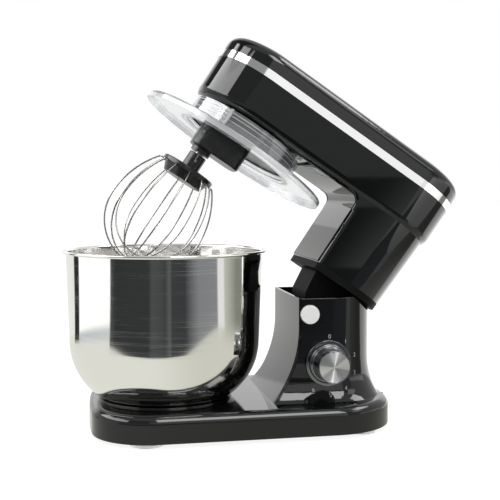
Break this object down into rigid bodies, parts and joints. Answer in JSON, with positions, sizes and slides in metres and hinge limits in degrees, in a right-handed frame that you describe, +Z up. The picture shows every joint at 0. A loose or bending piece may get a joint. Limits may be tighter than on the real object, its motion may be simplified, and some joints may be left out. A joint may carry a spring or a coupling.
{
  "type": "stand mixer",
  "caption": "Tilt-head stand mixer with raised head, planetary wire whisk, clear splash guard, brushed steel bowl, and a speed dial and release button on the column.",
  "frame": {"origin": "middle of the footprint on the table top", "axes": "+X from the nose to the back of the mixer, +Y to the side away from the controls, +Z up"},
  "size_m": [0.4321, 0.218, 0.4162],
  "materials": {
    "gloss_black": "gloss black moulded plastic",
    "satin_black": "satin black moulded plastic",
    "panel_grey": "gloss black plastic panel",
    "plated_trim": "bright plated plastic",
    "bowl_steel": "spun and brushed stainless steel",
    "wire_steel": "drawn stainless wire",
    "clear_plastic": "clear polycarbonate",
    "foot_rubber": "pale soft rubber",
    "dial_face": "spun aluminium",
    "button_silver": "satin silver",
    "shaft_steel": "ground steel",
    "bronze_bush": "sintered bronze",
    "cast_alloy": "die-cast alloy",
    "gear_plastic": "natural acetal",
    "motor_steel": "laminated and drawn steel",
    "copper": "copper segments",
    "carbon": "pressed carbon",
    "belt_rubber": "ribbed belt rubber",
    "board": "glass-fibre circuit board"
  },
  "bodies": {
    "base": {"base_housing": "gloss_black", "bottom_plate": "satin_black", "bottom_screws": "shaft_steel", "hinge_pin": "shaft_steel", "bowl_lock_ring": "satin_black", "knob_bezel": "plated_trim", "speed_switch": "satin_black", "button_guide": "satin_black", "button_spring": "shaft_steel", "control_board": "board", "cord_gland": "satin_black", "foot_front_right": "foot_rubber", "foot_front_left": "foot_rubber", "foot_rear_right": "foot_rubber", "foot_rear_left": "foot_rubber"},
    "head": {"head_shell": "gloss_black", "underside_panel": "panel_grey", "trim_band": "plated_trim", "top_cover": "gloss_black", "hinge_bracket": "satin_black", "hinge_bushes": "bronze_bush", "drive_collar": "gloss_black", "ring_gear": "gear_plastic", "gear_case_floor": "cast_alloy", "gear_case_bridge": "cast_alloy", "shaft_bushes": "bronze_bush", "drive_belt": "belt_rubber", "motor_end_lower": "cast_alloy", "motor_can": "motor_steel", "stator_core": "motor_steel", "motor_brushes": "carbon"},
    "carrier": {"main_shaft": "shaft_steel", "main_gear": "gear_plastic", "planet_carrier": "satin_black", "carrier_bushes": "bronze_bush"},
    "whisk": {"output_shaft": "shaft_steel", "planet_pinion": "shaft_steel", "cross_pin": "shaft_steel", "whisk_hub": "satin_black", "whisk_cap": "satin_black", "whisk_wire_1": "wire_steel", "whisk_wire_2": "wire_steel", "whisk_wire_3": "wire_steel", "whisk_wire_4": "wire_steel", "whisk_wire_5": "wire_steel", "whisk_wire_6": "wire_steel"},
    "countershaft": {"layshaft": "shaft_steel", "belt_pulley": "gear_plastic"},
    "rotor": {"motor_shaft": "shaft_steel", "rotor_core": "motor_steel", "commutator": "copper", "cooling_fan": "gear_plastic", "motor_pulley": "cast_alloy"},
    "guard": {"splash_guard": "clear_plastic"},
    "bowl": {"bowl": "bowl_steel", "bowl_foot": "satin_black"},
    "knob": {"speed_knob": "plated_trim", "knob_face": "dial_face"},
    "button": {"release_button": "button_silver"}
  },
  "joints": [
    {"name": "head_tilt", "type": "hinge", "parent": "base", "child": "head", "pos_m": [0.0845, 0, 0.1262], "axis": [0, 1, 0], "range_deg": [-34, 0]},
    {"name": "planet_spin", "type": "hinge", "parent": "head", "child": "carrier", "pos_m": [-0.02655, 0, 0.3058], "axis": [0.5592, 0, 0.829], "continuous": true},
    {"name": "whisk_spin", "type": "hinge", "parent": "carrier", "child": "whisk", "pos_m": [-0.0508, 0, 0.32216], "axis": [0.5592, 0, 0.829], "continuous": true},
    {"name": "countershaft_spin", "type": "hinge", "parent": "head", "child": "countershaft", "pos_m": [0.02071, 0, 0.29986], "axis": [0.5592, 0, 0.829], "continuous": true},
    {"name": "motor_spin", "type": "hinge", "parent": "head", "child": "rotor", "pos_m": [0.09557, 0, 0.16855], "axis": [0.5592, 0, 0.829], "continuous": true},
    {"name": "guard_turn", "type": "hinge", "parent": "head", "child": "guard", "pos_m": [-0.03248, 0, 0.29702], "axis": [0.5592, 0, 0.829], "range_deg": [0, 30]},
    {"name": "bowl_turn", "type": "hinge", "parent": "base", "child": "bowl", "pos_m": [-0.108, 0, 0.02], "axis": [0, 0, 1], "range_deg": [0, 34]},
    {"name": "speed_turn", "type": "hinge", "parent": "base", "child": "knob", "pos_m": [0.0565, -0.061, 0.073], "axis": [0, 1, 0], "range_deg": [0, 216]},
    {"name": "button_press", "type": "slide", "parent": "base", "child": "button", "axis": [0, 1, 0], "range_m": [0, 0.0035], "stiffness_N_per_m": 600, "springref_m": -0.003}
  ],
  "couplings": [
    {"joint": "whisk_spin", "follows": "planet_spin", "ratio": -3.2941},
    {"joint": "countershaft_spin", "follows": "planet_spin", "ratio": -3.25},
    {"joint": "motor_spin", "follows": "planet_spin", "ratio": -13}
  ]
}
